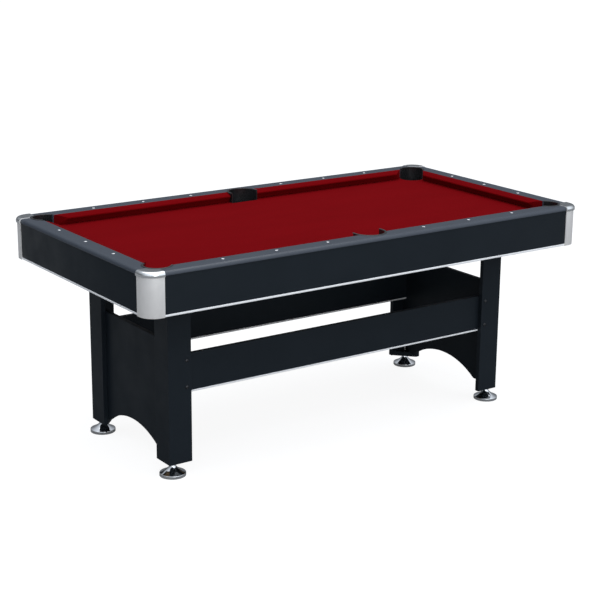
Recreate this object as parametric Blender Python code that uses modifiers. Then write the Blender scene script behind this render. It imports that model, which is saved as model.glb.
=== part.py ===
"""Six-pocket pool table of the 6 ft home size, as an assembly of its separate pieces.

Metres, +Z up. The origin is on the floor under the middle of the table, and X runs along its length.
"left" and "right" are -X and +X, "front" and "back" are -Y and +Y. A cabinet of four aprons carries the
bed, six rail-mounted cushions and six pockets. It stands on two end frames, each of two angle legs and an
arched panel, tied by two long stretchers. Balls run back under the bed in two gullies to a box at the
right end. Each leg stands on a screw-in levelling foot.
"""

import math

import bmesh
import bpy
from mathutils import Matrix, Vector

GAP = 0.0003  # clearance between pieces that touch

# Plan of the table, as half sizes from its middle
CASTING_X = 0.9105  # outer faces of the corner castings
CASTING_Y = 0.4805
RAIL_INSET = 0.0005  # rail edges sit this far inside the castings' faces
RAIL_WIDTH = 0.062
CUSHION_DEPTH = 0.032
APRON_INSET = 0.0035
APRON_THICK = 0.0157
APRON_MITRE = 0.030  # an apron's face is this much shorter at each end than its back

# Heights above the floor
RAIL_TOP = 0.778
RIM_TOP = RAIL_TOP + 0.002
RAIL_EDGE = 0.0125  # rounding of the rail's outer edge
RAIL_LIP = RAIL_TOP - 0.0135  # underside of the rail's outer edge
CLOTH_TOP = 0.742
CLOTH_THICK = 0.0012
BED_TOP = CLOTH_TOP - CLOTH_THICK - GAP
BED_THICK = 0.018
BED_UNDER = BED_TOP - BED_THICK
APRON_BOTTOM = 0.640
TRIM_HEIGHT = 0.008

# Corner castings
WING = 0.064  # from the corner to where a wing stops
CORNER_RADIUS = 0.050
CAP_OVERHANG = 0.004
CAP_DEPTH = 0.018
CAP_PLATE = 0.0045
CAP_ROUND = 0.012
CASTING_WALL = 0.0032

# Pockets
CORNER_POCKET_INSET = 0.0845  # pocket centre from both faces of its casting
CORNER_POCKET_RADIUS = 0.0465
CORNER_POCKET_LEG = 0.010
SIDE_POCKET_Y = 0.3965
SIDE_POCKET_RADIUS = 0.057
SIDE_POCKET_LEG = 0.0181
LINER_WALL = 0.004
LINER_STEP = 0.0005  # the ring in the bed is this much slimmer each side than the wall above it
RIM_FLANGE = 0.004
LINER_BOTTOM = BED_UNDER - 0.0035
ARC_STEPS = 10

# Cushion ends, where they open out to the pockets
CORNER_MITRE = math.radians(52)
SIDE_MITRE = math.radians(14)
CORNER_CUSHION_END = 0.0455  # back edge of a cushion from the middle of its corner pocket
SIDE_CUSHION_END = 0.0535

# Legs and end frames
LEG_X = 0.723  # outer corner of a leg
LEG_Y = 0.276
LEG_FLANGE = 0.088
BOARD = 0.018
LEG_BOTTOM = 0.045
PANEL_THICK = 0.016
PANEL_TOP = 0.466
PANEL_BOTTOM = 0.0635
ARCH_HALF = 0.184
ARCH_TOP = 0.122
PANEL_NOTCH_Y = 0.216
PANEL_NOTCH_Z = 0.112
STRETCHER_BOTTOM = 0.290
STRETCHER_TOP = 0.419
STRETCHER_TRIM = 0.007

# Levelling feet, M10 x 1.5
FOOT_INSET = 0.0265  # foot axis from both faces of the leg's corner
FOOT_RADIUS = 0.045
FOOT_TOP = 0.040
STUD_RADIUS = 0.005
STUD_TOP = 0.088
SOCKET_FLOOR = 0.030
BLOCK_LEGS = (0.064, 0.068)  # the two square sides of each three-cornered block

# Beams under the bed
BEAM_HEIGHT = 0.060
CROSS_BEAM_HALF = 0.340

# Ball return
GULLY_INNER_Y = 0.348
GULLY_OUTER_Y = 0.452
GULLY_START_X = -0.885
GULLY_TURN_X = 0.778
GULLY_END_X = 0.8875
GULLY_WALL = 0.003
GULLY_FLOOR = 0.664  # floor at the left end
GULLY_DEPTH = 0.054
LONG_FALL = 0.010  # metres down per metre along
CROSS_FALL = 0.020
BOX_HALF = 0.1645
BOX_BACK_X = 0.745
BOX_FLOOR = 0.640
BOX_WALL_TOP = 0.700
MOUTH_HALF = 0.150
MOUTH_LOW = 0.654
MOUTH_HIGH = 0.716
BEZEL_BORDER = 0.009
BEZEL_THICK = 0.0025

RAIL_X = CASTING_X - RAIL_INSET
RAIL_Y = CASTING_Y - RAIL_INSET
APRON_X = CASTING_X - APRON_INSET
APRON_Y = CASTING_Y - APRON_INSET
INSIDE_X = APRON_X - APRON_THICK
INSIDE_Y = APRON_Y - APRON_THICK
POCKET_X = CASTING_X - CORNER_POCKET_INSET
POCKET_Y = CASTING_Y - CORNER_POCKET_INSET

ENDS = {"left": -1, "right": 1}
SIDES = {"front": -1, "back": 1}


for old in list(bpy.data.objects):
    bpy.data.objects.remove(old)
parts = bpy.data.collections.new("pool_table")
tools = bpy.data.collections.new("cutters")
bpy.context.scene.collection.children.link(parts)
bpy.context.scene.collection.children.link(tools)


def material(name, colour, roughness, metallic=0.0):
    """A plain Principled material."""
    made = bpy.data.materials.new(name)
    made.use_nodes = True
    shader = made.node_tree.nodes["Principled BSDF"]
    shader.inputs["Base Color"].default_value = (*colour, 1.0)
    shader.inputs["Roughness"].default_value = roughness
    shader.inputs["Metallic"].default_value = metallic
    return made


LAMINATE = material("black_laminate", (0.020, 0.023, 0.027), 0.45)
RAIL_LAMINATE = material("slate_laminate", (0.075, 0.090, 0.105), 0.35)
FELT = material("red_felt", (0.165, 0.004, 0.006), 0.95)
PLASTIC = material("black_plastic", (0.012, 0.012, 0.013), 0.25)
SILVER = material("satin_casting", (0.56, 0.57, 0.56), 0.32, 1.0)
TRIM = material("silver_trim", (0.72, 0.72, 0.72), 0.40)
CHROME = material("chrome", (0.75, 0.76, 0.77), 0.08, 1.0)
STEEL = material("zinc_steel", (0.55, 0.56, 0.58), 0.35, 1.0)
BOARD_CORE = material("raw_board", (0.30, 0.20, 0.12), 0.85)


def part(obj, name, finish):
    """Puts a finished object among the parts under its own name, shaded smooth where it is round."""
    obj.name = name
    obj.data.name = name
    obj.data.materials.clear()
    obj.data.materials.append(finish)
    obj.data.shade_smooth()
    obj.data.set_sharp_from_angle(angle=math.radians(35))
    tools.objects.unlink(obj)
    parts.objects.link(obj)
    obj.hide_render = False
    obj.display_type = "SOLID"
    return obj


def tool(name, mesh):
    """Every shape starts as a hidden tool, and stays one unless it becomes a part."""
    obj = bpy.data.objects.new(name, mesh)
    tools.objects.link(obj)
    obj.hide_render = True
    obj.display_type = "WIRE"
    return obj


def block(low, high):
    """A box between two corners."""
    low, high = Vector(low), Vector(high)
    mesh = bpy.data.meshes.new("block")
    shape = bmesh.new()
    bmesh.ops.create_cube(shape, size=1.0)
    bmesh.ops.scale(shape, vec=high - low, verts=shape.verts)
    bmesh.ops.translate(shape, vec=(low + high) / 2, verts=shape.verts)
    shape.to_mesh(mesh)
    shape.free()
    return tool("block", mesh)


def prism(outline, low, high, along="Z"):
    """A flat outline made solid between two stations on an axis.

    The outline's two coordinates are x, y for Z; y, z for X; and x, z for Y.
    """
    flat = bpy.data.curves.new("outline", "CURVE")
    flat.dimensions = "2D"
    flat.fill_mode = "BOTH"
    flat.extrude = (high - low) / 2
    spline = flat.splines.new("POLY")
    spline.points.add(len(outline) - 1)
    for point, (a, b) in zip(spline.points, outline):
        point.co = (a, b, 0.0, 1.0)
    spline.use_cyclic_u = True
    guide = bpy.data.objects.new("outline", flat)
    tools.objects.link(guide)
    bpy.context.view_layer.update()
    evaluated = guide.evaluated_get(bpy.context.evaluated_depsgraph_get())
    mesh = bpy.data.meshes.new_from_object(evaluated)
    bpy.data.objects.remove(guide)
    shape = bmesh.new()
    shape.from_mesh(mesh)
    bmesh.ops.remove_doubles(shape, verts=shape.verts, dist=1e-6)
    shape.to_mesh(mesh)
    shape.free()
    mesh.transform(Matrix.Translation((0, 0, (low + high) / 2)))
    if along == "X":
        mesh.transform(Matrix(((0, 0, 1, 0), (1, 0, 0, 0), (0, 1, 0, 0), (0, 0, 0, 1))))
    elif along == "Y":
        mesh.transform(Matrix(((1, 0, 0, 0), (0, 0, -1, 0), (0, 1, 0, 0), (0, 0, 0, 1))))
    return tool("prism", mesh)


def turned(profile, steps):
    """A profile of (radius, height) points, from the top down its outer side, turned about Z."""
    mesh = bpy.data.meshes.new("turned")
    edges = [(i, i + 1) for i in range(len(profile) - 1)]
    mesh.from_pydata([(r, 0.0, z) for r, z in profile], edges, [])
    obj = tool("turned", mesh)
    screw = obj.modifiers.new("turn", "SCREW")
    screw.steps = steps
    screw.render_steps = steps
    screw.use_merge_vertices = True
    screw.merge_threshold = 0.00001
    return obj


def combine(obj, other, operation):
    boolean = obj.modifiers.new(operation.lower(), "BOOLEAN")
    boolean.operation = operation
    boolean.object = other
    return obj


def arc(centre, radius, start, end, steps=ARC_STEPS):
    """Points on an arc, both ends included, with its angles in degrees."""
    points = []
    for i in range(steps + 1):
        angle = math.radians(start + (end - start) * i / steps)
        points.append((centre[0] + radius * math.cos(angle), centre[1] + radius * math.sin(angle)))
    return points


def place(obj, x, y, turn=0.0):
    obj.location = (x, y, 0.0)
    obj.rotation_euler = (0.0, 0.0, turn)
    return obj


# Pockets. Each is drawn about its own centre, with its mouth towards +x.


def pocket_outline(radius, leg, round_front):
    """A half round back, two straight sides of a leg's length, and a flat or a half round front."""
    back = arc((0, 0), radius, 90, 270)
    front = arc((leg, 0), radius, -90, 90) if round_front else [(leg, -radius), (leg, radius)]
    return back + front


def horseshoe(outer, inner, leg):
    """A half round band with two straight ends, open at the mouth."""
    return (
        arc((0, 0), outer, 90, 270)
        + [(leg, -outer), (leg, -inner)]
        + arc((0, 0), inner, 270, 90)
        + [(leg, inner), (leg, outer)]
    )


POCKETS = {}
for side, sy in SIDES.items():
    for end, sx in ENDS.items():
        facing = math.atan2(-sy, -sx)
        facing = math.radians(round(math.degrees(facing)))
        POCKETS[f"{side}_{end}"] = (sx * POCKET_X, sy * POCKET_Y, facing, True)
    POCKETS[f"{side}_middle"] = (0.0, sy * SIDE_POCKET_Y, -sy * math.pi / 2, False)

bed_cutters = []
rail_cutters = {}
for name, (x, y, facing, corner) in POCKETS.items():
    radius = CORNER_POCKET_RADIUS if corner else SIDE_POCKET_RADIUS
    leg = CORNER_POCKET_LEG if corner else SIDE_POCKET_LEG
    inner = radius - LINER_WALL
    ring_outer = radius - LINER_STEP
    ring_inner = inner + LINER_STEP
    ear = leg if corner else leg - LINER_WALL

    wall = prism(horseshoe(radius, inner, ear), BED_TOP - 0.002, RAIL_TOP + 2 * GAP)
    rim = prism(horseshoe(radius + RIM_FLANGE, inner - LINER_STEP, ear + LINER_STEP), RAIL_TOP + GAP, RIM_TOP)
    ring = prism(pocket_outline(ring_outer, leg - GAP, corner), LINER_BOTTOM, BED_TOP - 0.001)
    bore_leg = leg if corner else leg - LINER_WALL
    bore = prism(pocket_outline(ring_inner, bore_leg, corner), LINER_BOTTOM - 0.01, BED_TOP)
    combine(ring, bore, "DIFFERENCE")
    combine(ring, wall, "UNION")
    combine(ring, rim, "UNION")
    for piece in (wall, rim, ring, bore):
        place(piece, x, y, facing)
    part(ring, f"pocket_liner_{name}", PLASTIC)

    bed_cut = prism(pocket_outline(radius + GAP, leg + GAP, corner), BED_UNDER - 0.01, CLOTH_TOP + 0.01)
    bed_cutters.append(place(bed_cut, x, y, facing))
    rail_cut = prism(pocket_outline(radius + GAP, 0.08, False), CLOTH_TOP - 0.01, RAIL_TOP + 0.01)
    rail_cutters[name] = place(rail_cut, x, y, facing)


# Bed: a board let in between the aprons, and the cloth that is stretched over it

playfield = block(
    (-INSIDE_X + GAP, -INSIDE_Y + GAP, BED_UNDER),
    (INSIDE_X - GAP, INSIDE_Y - GAP, BED_TOP),
)
cloth = block(
    (-INSIDE_X + GAP, -INSIDE_Y + GAP, CLOTH_TOP - CLOTH_THICK),
    (INSIDE_X - GAP, INSIDE_Y - GAP, CLOTH_TOP),
)
for cutter in bed_cutters:
    combine(playfield, cutter, "DIFFERENCE")
    combine(cloth, cutter, "DIFFERENCE")
part(playfield, "playfield", BOARD_CORE)
part(cloth, "bed_cloth", FELT)


# Rails: a laminated board with a rounded outer edge, stepped to sit on the bed and over the apron


def rail_profile(outer):
    inner = outer - RAIL_WIDTH
    step = min(outer, outer - (RAIL_X - INSIDE_X) - GAP)
    return (
        [(inner, CLOTH_TOP + GAP), (step, CLOTH_TOP + GAP), (step, RAIL_LIP), (outer, RAIL_LIP)]
        + arc((outer - RAIL_EDGE, RAIL_TOP - RAIL_EDGE), RAIL_EDGE, 0, 90, 5)
        + [(inner, RAIL_TOP)]
    )


def rail(name, outer, half_length, turn, pockets):
    shape = prism(rail_profile(outer), -half_length, half_length, along="X")
    place(shape, 0, 0, turn)
    for pocket in pockets:
        combine(shape, rail_cutters[pocket], "DIFFERENCE")
    return part(shape, name, RAIL_LAMINATE)


LONG_HALF = CASTING_X - WING - GAP
SHORT_HALF = CASTING_Y - WING - GAP
rail("rail_back", RAIL_Y, LONG_HALF, 0.0, ("back_left", "back_middle", "back_right"))
rail("rail_front", RAIL_Y, LONG_HALF, math.pi, ("front_left", "front_middle", "front_right"))
rail("rail_left", RAIL_X, SHORT_HALF, math.pi / 2, ("front_left", "back_left"))
rail("rail_right", RAIL_X, SHORT_HALF, -math.pi / 2, ("front_right", "back_right"))


# Cushions: cloth over a rubber section whose nose overhangs the bed, cut back at the pockets


def cushion(name, rail_outer, start, end, mitres, turn):
    """A cushion along the rail at +y, its ends sheared back by a mitre angle each."""
    back = rail_outer - RAIL_WIDTH - GAP
    nose = rail_outer - RAIL_WIDTH - CUSHION_DEPTH
    profile = [
        (back, CLOTH_TOP + GAP),
        (back, RAIL_TOP - 0.0005),
        (nose + 0.006, RAIL_TOP - 0.0030),
        (nose + 0.001, RAIL_TOP - 0.0045),
        (nose, RAIL_TOP - 0.0065),
        (nose + 0.0008, RAIL_TOP - 0.0090),
        (nose + 0.0150, CLOTH_TOP + GAP),
    ]
    shape = prism(profile, start, end, along="X")
    middle = (start + end) / 2
    for vertex in shape.data.vertices:
        depth = back - vertex.co.y
        if vertex.co.x < middle:
            vertex.co.x += depth * math.tan(mitres[0])
        else:
            vertex.co.x -= depth * math.tan(mitres[1])
    place(shape, 0, 0, turn)
    return part(shape, name, FELT)


long_reach = POCKET_X - CORNER_CUSHION_END
short_reach = POCKET_Y - CORNER_CUSHION_END
side_first = (SIDE_MITRE, CORNER_MITRE)
corner_first = (CORNER_MITRE, SIDE_MITRE)
both_corners = (CORNER_MITRE, CORNER_MITRE)
cushion("cushion_back_right", RAIL_Y, SIDE_CUSHION_END, long_reach, side_first, 0.0)
cushion("cushion_back_left", RAIL_Y, -long_reach, -SIDE_CUSHION_END, corner_first, 0.0)
cushion("cushion_front_left", RAIL_Y, SIDE_CUSHION_END, long_reach, side_first, math.pi)
cushion("cushion_front_right", RAIL_Y, -long_reach, -SIDE_CUSHION_END, corner_first, math.pi)
cushion("cushion_left", RAIL_X, -short_reach, short_reach, both_corners, math.pi / 2)
cushion("cushion_right", RAIL_X, -short_reach, short_reach, both_corners, -math.pi / 2)


# Corner castings: drawn with the outer corner at the origin and the table in the -x, -y quadrant


def casting_band(out, wall):
    """An angle with a rounded corner: two wings and the bend between them."""
    middle = (-CORNER_RADIUS, -CORNER_RADIUS)
    return (
        [(-WING, out)]
        + arc(middle, CORNER_RADIUS + out, 90, 0)
        + [(out, -WING), (-wall, -WING)]
        + arc(middle, CORNER_RADIUS - wall, 0, 90)
        + [(-WING, -wall)]
    )


def cap_outline():
    """The top plate: a rounded corner with the pocket's rim taken out of its inner side."""
    reach = CORNER_POCKET_RADIUS + RIM_FLANGE + GAP
    rise = CORNER_POCKET_INSET - WING
    run = math.sqrt(reach**2 - rise**2)
    lean = math.degrees(math.asin(rise / reach))
    centre = (-CORNER_POCKET_INSET, -CORNER_POCKET_INSET)
    outer_radius = CORNER_RADIUS + CAP_OVERHANG
    return (
        [(-WING, CAP_OVERHANG)]
        + arc((-CORNER_RADIUS, -CORNER_RADIUS), outer_radius, 90, 0)
        + [(CAP_OVERHANG, -WING), (run - CORNER_POCKET_INSET, -WING)]
        + arc(centre, reach, lean, 90 - lean)[1:-1]
        + [(-WING, run - CORNER_POCKET_INSET)]
    )


def round_top_edge(obj, radius, segments):
    """Rounds the top edges that lie along the outer sides and the rounded corner between them."""
    shape = bmesh.new()
    shape.from_mesh(obj.data)
    chosen = []
    for edge in shape.edges:
        ends = [vertex.co for vertex in edge.verts]
        on_top = all(abs(p.z - RIM_TOP) < 1e-6 for p in ends)
        outside = all(
            max(p.x, p.y) > CAP_OVERHANG - 1e-6
            or (Vector((p.x, p.y)) + Vector((CORNER_RADIUS, CORNER_RADIUS))).length > CORNER_RADIUS
            and min(p.x, p.y) > -CORNER_RADIUS - 1e-6
            for p in ends
        )
        if on_top and outside:
            chosen.append(edge)
    bmesh.ops.bevel(shape, geom=chosen, offset=radius, segments=segments, profile=0.5, affect="EDGES")
    shape.to_mesh(obj.data)
    shape.free()


for side, sy in SIDES.items():
    for end, sx in ENDS.items():
        turn = {(1, 1): 0.0, (-1, 1): math.pi / 2, (-1, -1): math.pi, (1, -1): -math.pi / 2}[(sx, sy)]
        cap = prism(cap_outline(), RIM_TOP - CAP_DEPTH, RIM_TOP)
        round_top_edge(cap, CAP_ROUND, 3)
        hollow_outline = (
            [(-0.2, -CASTING_WALL + 0.0002)]
            + arc((-CORNER_RADIUS, -CORNER_RADIUS), CORNER_RADIUS - CASTING_WALL + 0.0002, 90, 0)
            + [(-CASTING_WALL + 0.0002, -0.2), (-0.2, -0.2)]
        )
        hollow = prism(hollow_outline, RIM_TOP - CAP_DEPTH - 0.01, RIM_TOP - CAP_PLATE)
        wall = prism(casting_band(0.0, CASTING_WALL), APRON_BOTTOM - TRIM_HEIGHT, RIM_TOP - CAP_DEPTH + 0.002)
        combine(cap, hollow, "DIFFERENCE")
        combine(cap, wall, "UNION")
        for piece in (cap, hollow, wall):
            place(piece, sx * CASTING_X, sy * CASTING_Y, turn)
        part(cap, f"corner_casting_{side}_{end}", SILVER)


# Cabinet: four apron boards, ends cut back to tuck behind the castings, each with a trim along its foot


def apron(name, face, half_inside, turn):
    """An apron whose face is at +y, with its mitred ends kept clear of the casting's bend."""
    half_face = half_inside - APRON_MITRE
    plan = [(-half_face, face), (half_face, face), (half_inside, face - APRON_THICK), (-half_inside, face - APRON_THICK)]
    board = prism(plan, APRON_BOTTOM, RAIL_LIP - GAP)
    place(board, 0, 0, turn)
    return part(board, name, LAMINATE)


apron("apron_back", APRON_Y, INSIDE_X - 2 * GAP, 0.0)
apron("apron_front", APRON_Y, INSIDE_X - 2 * GAP, math.pi)
apron("apron_left", APRON_X, INSIDE_Y - 2 * GAP, math.pi / 2)
mouth = block((APRON_X - 0.05, -MOUTH_HALF, MOUTH_LOW), (APRON_X + 0.05, MOUTH_HALF, MOUTH_HIGH))
combine(apron("apron_right", APRON_X, INSIDE_Y - 2 * GAP, -math.pi / 2), mouth, "DIFFERENCE")


def trim(name, face, half_length, low, height, thick, turn):
    """A moulding with a rounded lower edge, along the foot of a board whose face is at +y."""
    lip = 0.0005
    radius = height * 0.45
    profile = (
        [(face + lip, low + height - GAP), (face - thick - lip, low + height - GAP)]
        + arc((face - thick - lip + radius, low + radius), radius, 180, 270, 3)
        + arc((face + lip - radius, low + radius), radius, 270, 360, 3)
    )
    strip = prism(profile, -half_length, half_length, along="X")
    place(strip, 0, 0, turn)
    return part(strip, name, TRIM)


trim_low = APRON_BOTTOM - TRIM_HEIGHT
trim("apron_trim_back", APRON_Y, LONG_HALF, trim_low, TRIM_HEIGHT, APRON_THICK, 0.0)
trim("apron_trim_front", APRON_Y, LONG_HALF, trim_low, TRIM_HEIGHT, APRON_THICK, math.pi)
trim("apron_trim_left", APRON_X, SHORT_HALF, trim_low, TRIM_HEIGHT, APRON_THICK, math.pi / 2)
trim("apron_trim_right", APRON_X, SHORT_HALF, trim_low, TRIM_HEIGHT, APRON_THICK, -math.pi / 2)


# Ball return: a gully along each long side turns in at the right end and empties into the box


def sheared(obj, axis, start, fall):
    """Tilts a shape's heights along an axis, by metres of fall a metre from its start."""
    for vertex in obj.data.vertices:
        vertex.co.z -= fall * abs(vertex.co[axis] - start)
    return obj


for side, sy in SIDES.items():
    near, far = sorted((sy * GULLY_INNER_Y, sy * GULLY_OUTER_Y))
    low, high = GULLY_FLOOR - GULLY_WALL, GULLY_FLOOR + GULLY_DEPTH
    long_run = sheared(
        block((GULLY_START_X, near, low), (GULLY_TURN_X + 0.010, far, high)), 0, GULLY_START_X, LONG_FALL
    )
    long_bore = sheared(
        block(
            (GULLY_START_X + GULLY_WALL, near + GULLY_WALL, GULLY_FLOOR),
            (GULLY_TURN_X + 0.030, far - GULLY_WALL, high + 0.01),
        ),
        0,
        GULLY_START_X,
        LONG_FALL,
    )
    turn_floor = GULLY_FLOOR - LONG_FALL * (GULLY_TURN_X - GULLY_START_X) - 0.0005
    box_side = sy * (BOX_HALF + GAP)
    outer_end = sy * (GULLY_OUTER_Y + 0.0002)
    near, far = sorted((box_side, outer_end))
    cross_run = sheared(
        block(
            (GULLY_TURN_X, near, turn_floor - GULLY_WALL),
            (GULLY_END_X, far, turn_floor + GULLY_DEPTH),
        ),
        1,
        outer_end,
        CROSS_FALL,
    )
    near, far = sorted((box_side - sy * 0.02, outer_end - sy * (GULLY_WALL + 0.0002)))
    cross_bore = sheared(
        block(
            (GULLY_TURN_X + GULLY_WALL, near, turn_floor),
            (GULLY_END_X - GULLY_WALL, far, turn_floor + GULLY_DEPTH + 0.02),
        ),
        1,
        outer_end,
        CROSS_FALL,
    )
    combine(long_run, cross_run, "UNION")
    combine(long_run, long_bore, "DIFFERENCE")
    combine(long_run, cross_bore, "DIFFERENCE")
    part(long_run, f"gully_{side}", PLASTIC)

ball_box = block(
    (BOX_BACK_X, -BOX_HALF, BOX_FLOOR - GULLY_WALL),
    (INSIDE_X - 0.001, BOX_HALF, BOX_WALL_TOP),
)
box_bore = block(
    (BOX_BACK_X + GULLY_WALL, -BOX_HALF + GULLY_WALL, BOX_FLOOR),
    (INSIDE_X + 0.02, BOX_HALF - GULLY_WALL, BOX_WALL_TOP + 0.02),
)
box_inlets = block(
    (GULLY_TURN_X + GULLY_WALL, -BOX_HALF - 0.02, BOX_FLOOR + 0.0005),
    (GULLY_END_X - GULLY_WALL, BOX_HALF + 0.02, BOX_WALL_TOP + 0.03),
)
combine(ball_box, box_bore, "DIFFERENCE")
combine(ball_box, box_inlets, "DIFFERENCE")
part(ball_box, "ball_box", PLASTIC)

bezel = block(
    (APRON_X + GAP, -MOUTH_HALF - BEZEL_BORDER, MOUTH_LOW - BEZEL_BORDER),
    (APRON_X + GAP + BEZEL_THICK, MOUTH_HALF + BEZEL_BORDER, MOUTH_HIGH + BEZEL_BORDER),
)
bezel_opening = block(
    (APRON_X - 0.02, -MOUTH_HALF + 0.002, MOUTH_LOW + 0.002),
    (APRON_X + 0.02, MOUTH_HALF - 0.002, MOUTH_HIGH - 0.002),
)
combine(bezel, bezel_opening, "DIFFERENCE")
part(bezel, "return_bezel", PLASTIC)


# Beams under the bed: one across at each pair of legs, one along the middle between them

beam_top = BED_UNDER - GAP
beam_low = beam_top - BEAM_HEIGHT
for end, sx in ENDS.items():
    near, far = sorted((sx * (LEG_X + GAP), sx * (LEG_X + GAP + BOARD)))
    beam = block((near, -CROSS_BEAM_HALF, beam_low), (far, CROSS_BEAM_HALF, beam_top))
    part(beam, f"cross_beam_{end}", BOARD_CORE)
middle_beam = block((-LEG_X, -BOARD / 2, beam_low), (LEG_X, BOARD / 2, beam_top))
part(middle_beam, "middle_beam", BOARD_CORE)


# End frames: angle legs at the four corners, and an arched panel behind each pair of end flanges

for side, sy in SIDES.items():
    for end, sx in ENDS.items():
        plan = [
            (sx * LEG_X, sy * LEG_Y),
            (sx * (LEG_X - LEG_FLANGE), sy * LEG_Y),
            (sx * (LEG_X - LEG_FLANGE), sy * (LEG_Y - BOARD)),
            (sx * (LEG_X - BOARD), sy * (LEG_Y - BOARD)),
            (sx * (LEG_X - BOARD), sy * (LEG_Y - LEG_FLANGE)),
            (sx * LEG_X, sy * (LEG_Y - LEG_FLANGE)),
        ]
        leg = prism(plan, LEG_BOTTOM, beam_top)
        part(leg, f"leg_{side}_{end}", LAMINATE)


def arch_points():
    """The underside of the panel between the legs: a shallow arc, from +y to -y."""
    rise = ARCH_TOP - PANEL_BOTTOM
    radius = (ARCH_HALF**2 + rise**2) / (2 * rise)
    spread = math.degrees(math.asin(ARCH_HALF / radius))
    return arc((0, ARCH_TOP - radius), radius, 90 - spread, 90 + spread, 16)


for end, sx in ENDS.items():
    side_y = LEG_Y - BOARD - GAP
    outline = (
        [(side_y, PANEL_TOP), (-side_y, PANEL_TOP), (-side_y, PANEL_NOTCH_Z), (-PANEL_NOTCH_Y, PANEL_NOTCH_Z)]
        + [(-PANEL_NOTCH_Y, PANEL_BOTTOM)]
        + arch_points()[::-1]
        + [(PANEL_NOTCH_Y, PANEL_BOTTOM), (PANEL_NOTCH_Y, PANEL_NOTCH_Z), (side_y, PANEL_NOTCH_Z)]
    )
    near, far = sorted((sx * (LEG_X - BOARD - GAP), sx * (LEG_X - BOARD - GAP - PANEL_THICK)))
    part(prism(outline, near, far, along="X"), f"end_panel_{end}", LAMINATE)


# Stretchers tie the end frames together behind the legs' side flanges

stretcher_half = LEG_X - BOARD - PANEL_THICK - 2 * GAP
stretcher_face = LEG_Y - BOARD - GAP
for side, sy in SIDES.items():
    near, far = sorted((sy * stretcher_face, sy * (stretcher_face - BOARD)))
    board = block((-stretcher_half, near, STRETCHER_BOTTOM), (stretcher_half, far, STRETCHER_TOP))
    part(board, f"stretcher_{side}", LAMINATE)
    turn = 0.0 if sy > 0 else math.pi
    strip = trim(
        f"stretcher_trim_{side}",
        stretcher_face - 0.0005,
        stretcher_half,
        STRETCHER_BOTTOM - STRETCHER_TRIM,
        STRETCHER_TRIM,
        BOARD - 0.001,
        turn,
    )


# Levelling feet: a three-cornered block in each leg's angle takes the stud, which turns in the foot's socket

for side, sy in SIDES.items():
    for end, sx in ENDS.items():
        x, y = sx * (LEG_X - FOOT_INSET), sy * (LEG_Y - FOOT_INSET)
        corner_x, corner_y = sx * (LEG_X - BOARD - GAP), sy * (LEG_Y - BOARD - GAP)
        plan = [
            (corner_x, corner_y),
            (corner_x - sx * BLOCK_LEGS[0], corner_y),
            (corner_x, corner_y - sy * BLOCK_LEGS[1]),
        ]
        holder = prism(plan, LEG_BOTTOM, PANEL_BOTTOM - GAP)
        hole = turned([(0, 0.10), (STUD_RADIUS + GAP, 0.10), (STUD_RADIUS + GAP, 0.02), (0, 0.02)], 20)
        place(hole, x, y)
        combine(holder, hole, "DIFFERENCE")
        part(holder, f"foot_block_{side}_{end}", LAMINATE)

        foot = turned(
            [
                (0.0, SOCKET_FLOOR),
                (STUD_RADIUS + GAP, SOCKET_FLOOR),
                (STUD_RADIUS + GAP, FOOT_TOP),
                (0.0105, FOOT_TOP),
                (0.0115, FOOT_TOP - 0.005),
                (0.0150, FOOT_TOP - 0.0110),
                (0.0240, FOOT_TOP - 0.0185),
                (0.0410, 0.0125),
                (FOOT_RADIUS, 0.0100),
                (FOOT_RADIUS, 0.0),
                (0.0, 0.0),
            ],
            24,
        )
        place(foot, x, y)
        part(foot, f"foot_{side}_{end}", CHROME)

        stud = turned(
            [(0, STUD_TOP), (STUD_RADIUS, STUD_TOP), (STUD_RADIUS, SOCKET_FLOOR + GAP), (0, SOCKET_FLOOR + GAP)],
            20,
        )
        place(stud, x, y)
        part(stud, f"stud_{side}_{end}", STEEL)
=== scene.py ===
"""The six-pocket pool table as it looks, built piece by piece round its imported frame.

Metres, +Z up, floor at zero, X along the table. It is put together here from the floor up: levelling feet and
studs, legs and end panels, stretchers, leg bolts, beams, ball return, bed and cloth, pocket liners, rails and
sights, cushions, aprons, corner castings. The studio comes last.
"""

import math

import bmesh
import bpy
from mathutils import Matrix, Vector


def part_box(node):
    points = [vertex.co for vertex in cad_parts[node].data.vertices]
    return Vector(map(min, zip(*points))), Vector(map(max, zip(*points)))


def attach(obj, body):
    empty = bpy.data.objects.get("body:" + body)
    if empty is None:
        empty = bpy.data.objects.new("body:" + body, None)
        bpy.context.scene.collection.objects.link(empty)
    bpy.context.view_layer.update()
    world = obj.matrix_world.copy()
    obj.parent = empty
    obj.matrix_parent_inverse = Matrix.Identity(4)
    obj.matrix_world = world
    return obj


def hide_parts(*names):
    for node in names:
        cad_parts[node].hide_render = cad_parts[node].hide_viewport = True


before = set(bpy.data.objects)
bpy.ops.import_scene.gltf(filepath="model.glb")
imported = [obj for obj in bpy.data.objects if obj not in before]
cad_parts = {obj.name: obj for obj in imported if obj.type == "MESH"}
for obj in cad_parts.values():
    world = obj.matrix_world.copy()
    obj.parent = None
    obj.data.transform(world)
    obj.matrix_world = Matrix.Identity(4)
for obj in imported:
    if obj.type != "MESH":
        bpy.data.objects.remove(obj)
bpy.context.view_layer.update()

# ---------------------------------------------------------------------------------------------------------
# Levelling feet. Each is a flared steel base, pressed and chrome plated, with a collar that takes the end of
# a threaded stud. They are drawn as one turned section and set under the four legs.


def node(tree, kind, inputs=(), **settings):
    """Adds a node, with its settings, and its inputs either set to a value or linked from a socket."""
    made = tree.nodes.new(kind)
    for key, value in settings.items():
        setattr(made, key, value)
    for key, value in dict(inputs).items():
        if isinstance(value, bpy.types.NodeSocket):
            tree.links.new(value, made.inputs[key])
        else:
            made.inputs[key].default_value = value
    return made


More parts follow.
